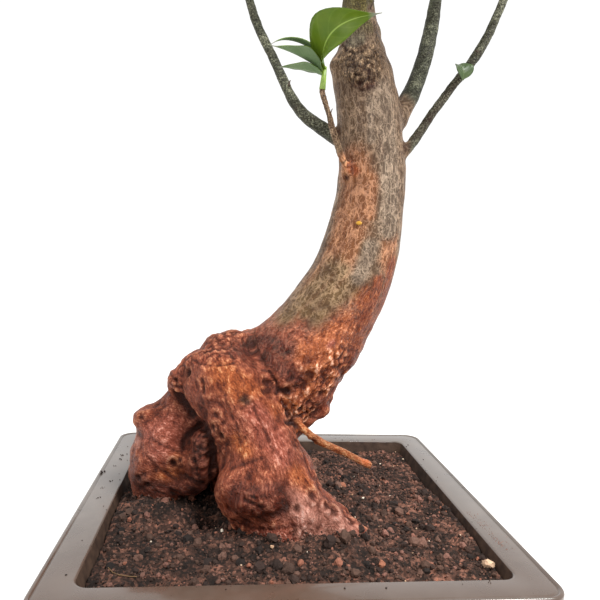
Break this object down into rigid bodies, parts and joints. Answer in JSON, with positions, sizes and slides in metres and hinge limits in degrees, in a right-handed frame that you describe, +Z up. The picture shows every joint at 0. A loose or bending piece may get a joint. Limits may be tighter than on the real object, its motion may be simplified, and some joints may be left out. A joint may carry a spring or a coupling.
{
  "type": "baobab bonsai",
  "caption": "Baobab bonsai with a swollen knobbly root base and leaning trunk, in a square sloping-walled tray with a wide flat rim.",
  "frame": {"origin": "on the surface that the tray stands on, under the middle of the tray", "axes": "+Z up; -Y is the tree's front, the side that the picture shows; +X to the right seen from the front"},
  "size_m": [0.3478, 0.28, 0.5784],
  "materials": {
    "tray_plastic": "grey-brown moulded plastic, satin",
    "soil": "dark crumbly soil with grit",
    "bark": "smooth wrinkled bark, satin",
    "leaf": "smooth green leaf, satin"
  },
  "bodies": {
    "root": {"tray": "tray_plastic", "soil": "soil", "wood": "bark", "leader_leaves": "leaf", "left_top_leaves": "leaf", "left_outer_leaves": "leaf", "left_back_leaves": "leaf", "front_leaves": "leaf", "back_leaves": "leaf", "right_back_leaves": "leaf", "right_top_leaves": "leaf", "right_front_leaves": "leaf", "thin_top_leaves": "leaf", "thin_front_leaves": "leaf", "low_leaves": "leaf", "small_leaf": "leaf"}
  },
  "joints": []
}
